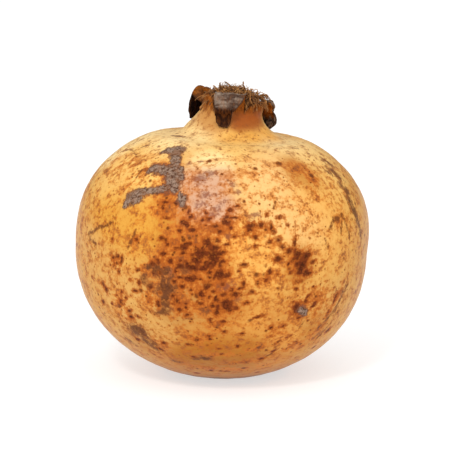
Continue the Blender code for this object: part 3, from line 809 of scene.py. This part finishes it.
def raise_skin(mesh, points, blotch, scab):
    """Moves the skin's vertices: corky scars stand proud, blotches are sunk a little, and
    the whole skin is dimpled."""
    normals = np.array([vertex.normal for vertex in mesh.vertices])
    dimples = np.array([noise.noise(Vector(p) / (DIMPLE * MM)) for p in points])
    pores = np.array([noise.noise(Vector(p) / (0.4 * DIMPLE * MM)) for p in points])
    relief = (SCAB_HEIGHT * np.clip((scab - 0.35) / 0.3, 0, 1) * (1 + pores)
              - BLOTCH_DEPTH * np.clip((blotch - 0.4) / 0.4, 0, 1)
              + DIMPLE_DEPTH * (dimples + 0.6 * pores))
    moved = points + normals * relief[:, None] * MM
    moved[:, 2] = np.maximum(moved[:, 2], FLOOR)
    mesh.vertices.foreach_set("co", moved.ravel())


# ---- Materials ---------------------------------------------------------------------


class Nodes:
    """Short ways to add nodes to a material or a world. Texture sizes are in millimetres."""

    def __init__(self, owner, shader="Principled BSDF", place="Object"):
        owner.use_nodes = True
        self.owner = owner
        self.tree = owner.node_tree
        self.shader = self.tree.nodes[shader]
        self.place = self.node("TexCoord", {}, place)

    def node(self, kind, inputs, output=0, **settings):
        """Adds a node, fills its inputs by name or number, and returns one of its outputs."""
        made = self.tree.nodes.new("ShaderNode" + kind)
        for name, value in settings.items():
            setattr(made, name, value)
        self.fill(made, inputs)
        return made.outputs[output]

    def fill(self, made, inputs):
        for name, value in inputs.items():
            socket = made.inputs[name]
            if isinstance(value, bpy.types.NodeSocket):
                self.tree.links.new(value, socket)
            elif isinstance(value, tuple) and socket.type == "RGBA":
                socket.default_value = (*value, 1)
            else:
                socket.default_value = value

    def finish(self, inputs):
        """Fills the shader's own inputs and returns the material or world."""
        self.fill(self.shader, inputs)
        return self.owner

    def math(self, kind, *values):
        return self.node("Math", dict(enumerate(values)), operation=kind)

    def add(self, *values):
        return functools.reduce(lambda total, value: self.math("ADD", total, value), values)

    def times(self, *values):
        return functools.reduce(lambda total, value: self.math("MULTIPLY", total, value), values)

    def weigh(self, *pairs):
        """The sum of (value, weight) pairs."""
        return self.add(*(self.times(*pair) for pair in pairs))

    def swing(self, noise, amount):
        """The noise, centred on 0, times an amount."""
        return self.times(self.math("SUBTRACT", noise, 0.5), amount)

    def field(self, name, output="Fac"):
        return self.node("Attribute", {}, output, attribute_name=name)

    def stretched(self, x, y, z):
        return self.node("Mapping", {"Vector": self.place, "Scale": (x, y, z)})

    def noise(self, size, detail, roughness=0.55, place=None):
        inputs = {"Vector": place or self.place, "Scale": 1000.0 / size, "Detail": detail,
                  "Roughness": roughness}
        return self.node("TexNoise", inputs, "Fac")

    def step(self, value, low, high):
        """From 0 to 1 as the value passes from low to high, either way round."""
        inputs = {"Value": value, "From Min": low, "From Max": high}
        return self.node("MapRange", inputs, interpolation_type="SMOOTHSTEP")

    def mix(self, share, first, second, kind="MIX"):
        inputs = {0: share, 6: first, 7: second}
        return self.node("Mix", inputs, 2, data_type="RGBA", blend_type=kind)

    def blend(self, value, low, high, first, second, *shares):
        """From one colour to another as the value passes from low to high."""
        return self.mix(self.times(self.step(value, low, high), *shares), first, second)

    def bump(self, height, depth, **under):
        return self.node("Bump", {"Height": height, "Distance": depth * 0.001, **under})


class Rind(Nodes):
    """The fruit's material, coat over coat from the ground's colour up."""

    def __init__(self):
        super().__init__(bpy.data.materials.new("rind"))
        self.mottle = self.noise(3.4, 5, 0.68)
        self.fine = self.noise(1.3, 3, 0.62)
        self.grain = self.noise(0.62, 2, 0.6)
        self.streaks = self.noise(2.4, 4, 0.65, self.stretched(0.7, 0.7, 2.0))
        self.fibre = self.noise(0.9, 3, 0.6, self.stretched(1, 1, 0.35))
        self.pits = self.noise(0.9, 3, 0.75)
        self.reach = self.field("reach")
        self.stain = self.field("stain")
        self.colour = self.field("ground", "Color")

    def coat(self, value, low, high, colour, *shares, kind="MIX"):
        """Lays a colour where the value passes from low to high. Returns how far it does."""
        passed = self.step(value, low, high)
        self.colour = self.mix(self.times(passed, *shares), self.colour, colour, kind)
        return passed

    def rough(self, value, mottle=0, fine=0, grain=0):
        """The value, broken up by so much of each noise."""
        for noise, amount in ((self.mottle, mottle), (self.fine, fine), (self.grain, grain)):
            if amount:
                value = self.add(value, self.swing(noise, amount))
        return value

    def lay_ground(self):
        """The broad tones are mottled deeper and paler, with faint level streaks, and turn
        to rust where the skin is stained. The rosy and creamy parts, which have more blue in
        them, are calmer than the rest, and the skin is darkened towards the floor where it
        stands, as painted shade."""
        calm = self.step(self.node("SeparateColor", {0: self.colour}, "Blue"), 0.10, 0.20)
        lively = self.math("SUBTRACT", 1.0, self.times(calm, 0.55))
        belly = self.step(self.reach, -8.0, -16.0)
        mixed = self.weigh((self.mottle, 0.55), (self.fine, 0.3), (self.streaks, 0.15))
        self.coat(self.add(mixed, self.times(self.stain, 0.05)), 0.45, 0.59, (0.87, 0.56, 0.31),
                  self.add(0.30, self.times(belly, 0.50)), kind="MULTIPLY")
        self.coat(mixed, 0.48, 0.36, (1.07, 1.11, 1.16), lively, 0.8, kind="MULTIPLY")
        # Darker and darker towards the floor, with a near-black band at the very bottom: painted shade
        # and a painted contact shadow where the fruit stands on the floor.
        height = self.times(self.node("SeparateXYZ", {0: self.place}, "Z"), 1000.0)
        low = self.rough(height, mottle=14.0, fine=6.0)
        self.coat(low, 18.0, 6.0, (0.27, 0.085, 0.012), 0.30)
        self.coat(low, 9.0, 0.5, (0.27, 0.070, 0.008), 0.62)
        self.coat(self.rough(height, mottle=2.0, fine=1.2), 3.8, 1.6, (0.055, 0.017, 0.004), 0.75)
        rusting = self.weigh((self.mottle, 0.42), (self.fine, 0.28), (self.grain, 0.12),
                             (self.streaks, 0.12), (self.noise(8, 3, 0.5), 0.06), (self.stain, 0.10))
        faint = self.math("MINIMUM", self.add(0.42, self.times(self.stain, 0.45)), 0.8)
        self.coat(rusting, 0.495, 0.58, (0.56, 0.178, 0.026), belly, faint, lively)
        self.coat(rusting, 0.555, 0.64, (0.36, 0.080, 0.010), belly, faint, lively)
        self.coat(rusting, 0.630, 0.70, (0.13, 0.022, 0.005), belly, 0.85)

    def lay_spots(self):
        """Soft bruises, and fine spots: one to a cell, each of its own size, and larger
        where the skin is stained."""
        bruise = self.rough(self.times(self.field("bruise"), 0.85), fine=1.6, grain=1.2)
        self.coat(bruise, 0.12, 0.85, (0.19, 0.056, 0.036), 0.72)
        for cell_size, dot_size, share in ((3.4, 0.30, 0.35), (2.2, 0.32, 0.30), (1.4, 0.32, 0.35)):
            cell = {"Vector": self.place, "Scale": 1000.0 / cell_size}
            chance = {0: self.node("TexVoronoi", cell, "Color")}
            size = self.times(self.node("SeparateColor", chance, "Red"), dot_size,
                              self.add(0.60, self.times(self.stain, 0.50)))
            distance = self.node("TexVoronoi", cell, "Distance")
            dot = self.rough(self.math("SUBTRACT", size, distance), grain=0.24)
            here = self.times(self.step(self.node("SeparateColor", chance, "Green"), share, share + 0.1),
                              self.step(self.reach, 0.0, -4.0))
            self.coat(dot, -0.10, 0.02, (0.36, 0.10, 0.012), here, 0.65)
            self.coat(dot, 0.0, 0.11, (0.11, 0.024, 0.005), here, 0.85)

    def lay_marks(self):
        """Weathered patches, grimy and broken, then scratches, then blotches with a rusty
        halo and a dark heart, and last the corky scars: speckled grey with a brown rim."""
        worn = self.rough(self.times(self.field("weather"), 0.75), mottle=2.8, fine=1.8, grain=1.0)
        self.coat(worn, 0.02, 0.60, (0.27, 0.090, 0.026), 0.60)
        grime = self.blend(self.fine, 0.42, 0.56, (0.032, 0.010, 0.005), (0.100, 0.036, 0.016))
        weathered = self.coat(worn, 0.42, 1.05, grime, 0.72)

        line = self.rough(self.field("scratch"), fine=1.2, grain=0.9)
        self.coat(line, 0.22, 0.55, (0.36, 0.115, 0.018), 0.60)
        self.coat(line, 0.48, 0.85, (0.12, 0.038, 0.012), 0.75)
        self.cut = self.step(line, 0.38, 0.68)

        ragged = self.add(self.field("blotch"), self.times(weathered, -0.12))
        ragged = self.rough(ragged, fine=0.9, grain=0.6)
        bare = self.math("SUBTRACT", 0.80, self.times(weathered, 0.6))
        self.coat(ragged, 0.10, 0.48, (0.37, 0.085, 0.010), bare)
        dark = self.blend(self.grain, 0.4, 0.66, (0.034, 0.005, 0.002), (0.120, 0.020, 0.005))
        dark = self.blend(self.fine, 0.52, 0.66, dark, (0.22, 0.044, 0.007), 0.6)
        self.heart = self.coat(ragged, 0.40, 0.80, dark, 0.92)

        crust = self.rough(self.field("scab"), fine=0.85, grain=0.5)
        self.coat(crust, 0.16, 0.44, (0.19, 0.064, 0.030), 0.80)
        cork = self.blend(self.pits, 0.38, 0.60, (0.050, 0.021, 0.014), (0.31, 0.218, 0.160))
        cork = self.blend(self.mottle, 0.49, 0.60, cork, (0.20, 0.085, 0.038), 0.6)
        self.crusted = self.coat(crust, 0.42, 0.62, cork, 0.86)

    def lay_crown(self):
        """The neck dries from orange to brown, and the lobes are leathery: silver or umber
        on the face that was the inside of the tube, darker towards the tip and the torn
        edge, and rusty to black on the other face, greyer where the lobe is silvery. The black
        of the other face is painted shade for the hollows under the curled lobes. The dark
        tips are partly dried colour and partly painted shade."""
        silver = self.field("silver")
        drying = self.rough(self.add(self.reach, self.swing(self.fibre, 3.0)), mottle=3.0)
        rusty = self.blend(self.fibre, 0.4, 0.65, (0.34, 0.100, 0.012), (0.19, 0.052, 0.008))
        self.coat(drying, -0.6, 2.6, rusty)
        # The near-black far part of the lobe's other face is painted shade, for the hollow under a
        # curled lobe.
        under = self.blend(self.fibre, 0.42, 0.62, (0.012, 0.004, 0.002), (0.050, 0.017, 0.006))
        greyed = self.blend(self.fibre, 0.42, 0.60, (0.030, 0.016, 0.011), (0.26, 0.175, 0.125))
        self.coat(drying, 7.0, 10.0, self.mix(self.times(silver, 0.8), under, greyed))
        ash = self.noise(2.8, 4, 0.65, self.stretched(0.6, 0.6, 1.3))
        grey = self.blend(ash, 0.38, 0.66, (0.075, 0.040, 0.026), (0.30, 0.225, 0.170))
        umber = self.blend(ash, 0.38, 0.66, (0.110, 0.030, 0.004), (0.300, 0.084, 0.006))
        leather = self.mix(silver, umber, grey)
        leather = self.blend(self.fibre, 0.46, 0.66, leather, (0.17, 0.064, 0.022), 0.45)
        # The dark tip is partly the lobe's dried colour and partly painted shade, where the tip curls
        # down under the lobe.
        tip = self.blend(self.fibre, 0.40, 0.62, (0.022, 0.007, 0.003), (0.090, 0.027, 0.006))
        leather = self.blend(self.rough(self.reach, fine=2.0), 11.4, 12.8, leather, tip)
        self.coat(self.reach, -3.0, 1.0, leather, self.field("inside"))
        self.coat(self.rough(self.field("edge"), fine=0.8), 0.7, 0.1, (0.06, 0.026, 0.013), 0.75)

    def finished(self):
        """Waxy skin, matt where it is corky or dry, with a fine relief and creased lobes."""
        dry = self.math("MAXIMUM", self.step(self.reach, 0.0, 3.0), self.crusted)
        relief = self.weigh((self.fine, 0.6), (self.grain, 0.35), (self.crusted, 0.8),
                            (self.times(self.crusted, self.pits), 0.9), (self.heart, -0.3),
                            (self.cut, -0.3))
        creases = self.times(self.step(self.reach, 0.5, 3.0),
                             self.add(self.fibre, self.times(self.fine, 0.5)))
        return self.finish({
            "Base Color": self.colour,
            "Roughness": self.add(0.34, self.swing(self.mottle, 0.16), self.times(dry, 0.36),
                                  self.times(self.heart, 0.06)),
            "Specular IOR Level": 0.045,
            "Normal": self.bump(creases, 0.5, Normal=self.bump(relief, 0.16)),
        })


def rind():
    skin = Rind()
    skin.lay_ground()
    skin.lay_spots()
    skin.lay_marks()
    skin.lay_crown()
    return skin.finished()


def threads():
    """Each thread has its own shade, and is paler towards its tip."""
    nodes = Nodes(bpy.data.materials.new("stamens"))
    shade = nodes.field("shade")
    colour = nodes.blend(shade, 0.15, 0.6, (0.090, 0.030, 0.008), (0.36, 0.145, 0.034))
    colour = nodes.blend(shade, 0.62, 0.95, colour, (0.48, 0.240, 0.075))
    colour = nodes.blend(nodes.noise(1.4, 2), 0.45, 0.7, colour, (0.055, 0.016, 0.006), 0.5)
    colour = nodes.blend(nodes.field("depth"), 0.3, 1.0, colour, (0.34, 0.16, 0.055), 0.35)
    return nodes.finish({"Base Color": colour, "Roughness": 0.8, "Specular IOR Level": 0.25,
                         "Normal": nodes.bump(nodes.noise(0.35, 2), 0.12)})


def lit_table():
    """A pale table that glows a little, as if it were lit from below."""
    nodes = Nodes(bpy.data.materials.new("floor"))
    return nodes.finish({"Base Color": (0.50, 0.50, 0.50), "Roughness": 0.9,
                         "Specular IOR Level": 0.0, "Emission Color": (1, 1, 1),
                         "Emission Strength": 0.60})


# ---- Stamens -----------------------------------------------------------------------


def tube(spine, radii, sides=5):
    """Vertices and faces of a round thread along the spine, closed at both ends."""
    spine = np.array(spine)
    ahead = unit(np.gradient(spine, axis=0))
    side = np.cross(ahead[0], (0.31, 0.87, 0.38))
    points = []
    for at, forward, radius in zip(spine, ahead, radii):
        side = unit(side - forward * np.dot(side, forward))
        up = np.cross(forward, side)
        for k in range(sides):
            turn = 2 * math.pi * k / sides
            points.append(at + radius * (math.cos(turn) * side + math.sin(turn) * up))
    ends = [tuple(range(sides))[::-1], tuple(range(len(points) - sides, len(points)))]
    return points, quads(len(spine), sides) + ends


def mound_height(x, y):
    """The top of the tuft's body: it slopes down to the right and towards its edge."""
    away = math.hypot(x, y) / 8.0
    return MOUND_TOP - 2.8 * away ** 2 - 0.12 * x + 0.9 * wobble(x, y, 3, 0.6)


def wander(rng, start, heading, steps, step, curl, droop):
    """A thread's spine: it curls at random and sinks more and more under its weight."""
    at, heading = np.array(start, float), np.array(heading, float)
    bias = np.array([rng.gauss(0, 1) for _ in range(3)]) * curl
    spine = [at.copy()]
    for i in range(steps):
        heading += bias * 0.5 + np.array([rng.gauss(0, 1) for _ in range(3)]) * curl * 0.6
        heading[2] -= droop * (i / steps)
        heading /= np.linalg.norm(heading)
        at = at + heading * step
        spine.append(at.copy())
    return spine


def scattered(rng, radius):
    """A random place on a disc, with its distance from the middle and its azimuth."""
    away, turn = radius * math.sqrt(rng.random()), rng.uniform(0, 2 * math.pi)
    return away * math.cos(turn), away * math.sin(turn), away, turn


def thread_spines(rng):
    """[(spine, thickness, shade, has an anther)] of every thread in the tuft."""
    spines = []
    for _ in range(THREADS):
        x, y, away, turn = scattered(rng, TUFT_RADIUS)
        lean = 0.25 + 0.9 * (away / TUFT_RADIUS) ** 2
        heading = (lean * math.cos(turn) + rng.gauss(0, 0.3),
                   lean * math.sin(turn) + rng.gauss(0, 0.3), 1)
        start = (x, y, mound_height(x, y) - rng.uniform(1.2, 3.0))
        step = rng.uniform(0.32, 0.62) * np.interp(x, (2, 5), (1, 0.6))
        spine = wander(rng, start, heading, rng.randint(6, 9), step, 0.26, rng.uniform(0.1, 0.6))
        thickness = THREAD_RADIUS * rng.uniform(0.7, 1.25)
        spines.append((spine, thickness, rng.random(), rng.random() < 0.35))
    for _ in range(DEBRIS):
        x, y, _, _ = scattered(rng, DEBRIS_RADIUS)
        start = (x, y, mound_height(x, y) + rng.uniform(-0.1, 0.5))
        heading = (rng.gauss(0, 1), rng.gauss(0, 1), rng.gauss(0.1, 0.35))
        spine = wander(rng, start, heading, 5, rng.uniform(0.3, 0.55), 0.25, 0.15)
        spines.append((spine, THREAD_RADIUS * rng.uniform(0.7, 1.5), rng.random(), False))
    for i in range(SPILL):
        turn = math.radians(rng.triangular(*(LEFT_SPILL if i % 5 == 0 else FRONT_SPILL)))
        away = rng.uniform(*SPILL_RADII)
        start = (away * math.cos(turn), away * math.sin(turn), rng.uniform(*SPILL_HEIGHTS))
        heading = (math.cos(turn) + rng.gauss(0, 0.35), math.sin(turn) + rng.gauss(0, 0.35),
                   rng.uniform(0.1, 0.9))
        spine = wander(rng, start, heading, rng.randint(8, 12), rng.uniform(0.3, 0.48), 0.16,
                       rng.uniform(0.5, 1.1))
        thickness = THREAD_RADIUS * rng.uniform(0.7, 1.5)
        spines.append((spine, thickness, 0.75 * rng.random(), rng.random() < 0.3))
    return spines


def mound():
    """The matted body of the tuft, which fills the cup: a rough closed dome."""
    turns = [2 * math.pi * i / MOUND_COLUMNS for i in range(MOUND_COLUMNS)]
    points = []
    for k in range(MOUND_RINGS):
        away = MOUND_RADIUS * math.sin(math.pi / 2 * (k + 1) / MOUND_RINGS) ** 0.9
        for turn in turns:
            x, y = away * math.cos(turn), away * math.sin(turn)
            rough = 0.45 * wobble(x, y, 1, 1.3) + 0.25 * wobble(x, y, 2, 3.5)
            rough -= 0.5 * (away / MOUND_RADIUS) ** 6
            points.append((x, y, mound_height(x, y) + rough))
    stem = min(MOUND_RADIUS, NECK_RADIUS - WALL - 0.25)
    points += [(stem * math.cos(turn), stem * math.sin(turn), height)
               for height in MOUND_STEM_HEIGHTS for turn in turns]
    points += [(0, 0, mound_height(0, 0)), (0, 0, MOUND_FLOOR)]
    # The rings run downwards, so the faces are turned over.
    faces = closed_rings(MOUND_RINGS + len(MOUND_STEM_HEIGHTS), MOUND_COLUMNS)
    return points, [face[:1] + face[:0:-1] for face in faces]


def stamens_mesh():
    points, faces = mound()
    shade = [MOUND_SHADE] * len(points)
    depth = [0.0] * len(points)
    for spine, thickness, tone, anther in thread_spines(random.Random(TUFT_SEED)):
        radii = [thickness * (1 - 0.45 * i / (len(spine) - 1)) for i in range(len(spine))]
        if anther:
            radii[-3:] = [thickness * 1.5, thickness * 2.0, thickness * 1.2]
        more, sides = tube(spine, radii)
        faces += [tuple(len(points) + i for i in face) for face in sides]
        points += more
        shade += [tone] * len(more)
        depth += [i / (len(more) - 1) for i in range(len(more))]
    mesh = standing_mesh("stamens", stand(np.array(points)), faces)
    attribute(mesh, "shade", np.array(shade))
    attribute(mesh, "depth", np.array(depth))
    return mesh


# ---- Stage -------------------------------------------------------------------------


def add_object(name, data):
    made = bpy.data.objects.new(name, data)
    bpy.context.scene.collection.objects.link(made)
    return made


def table():
    floor = bpy.data.meshes.new("floor")
    floor.from_pydata([(-6, -6, 0), (6, -6, 0), (6, 6, 0), (-6, 6, 0)], [], [(0, 1, 2, 3)])
    floor.materials.append(lit_table())
    add_object("floor", floor)


def studio():
    """A white room, brighter overhead and in front, and one soft lamp."""
    nodes = Nodes(bpy.data.worlds.new("studio"), "Background", "Generated")
    overhead = nodes.math("MAXIMUM", nodes.node("SeparateXYZ", {0: nodes.place}, "Z"), 0.0)
    in_front = nodes.math("MINIMUM", nodes.node("SeparateXYZ", {0: nodes.place}, "Y"), 0.0)
    strength = nodes.add(0.12, nodes.weigh((overhead, 0.90), (in_front, -1.1)))
    bpy.context.scene.world = nodes.finish({"Color": (1, 1, 1), "Strength": strength})
    lamp = bpy.data.lights.new("key", "AREA")
    lamp.shape = "RECTANGLE"
    lamp.size, lamp.size_y = LAMP_SIZE
    lamp.energy = LAMP_POWER
    made = add_object("key", lamp)
    made.location = LAMP_PLACE
    heading = LAMP_TARGET - LAMP_PLACE
    made.rotation_euler = heading.to_track_quat("-Z", "Y").to_euler()
    bpy.context.scene.view_settings.view_transform = "Standard"


def camera():
    data = bpy.data.cameras.new("camera")
    data.lens = data.sensor_width * VIEW_DISTANCE / VIEW_WIDTH
    made = add_object("camera", data)
    made.location = VIEW_TARGET + Skin.to_viewer() * VIEW_DISTANCE
    made.rotation_euler = (math.pi / 2 - VIEW_ELEVATION, 0, 0)
    bpy.context.scene.camera = made


skin_mesh = fruit_mesh()
paint(skin_mesh)
add_piece("fruit", skin_mesh, rind())
add_piece("stamens", stamens_mesh(), threads())
table()
studio()
camera()
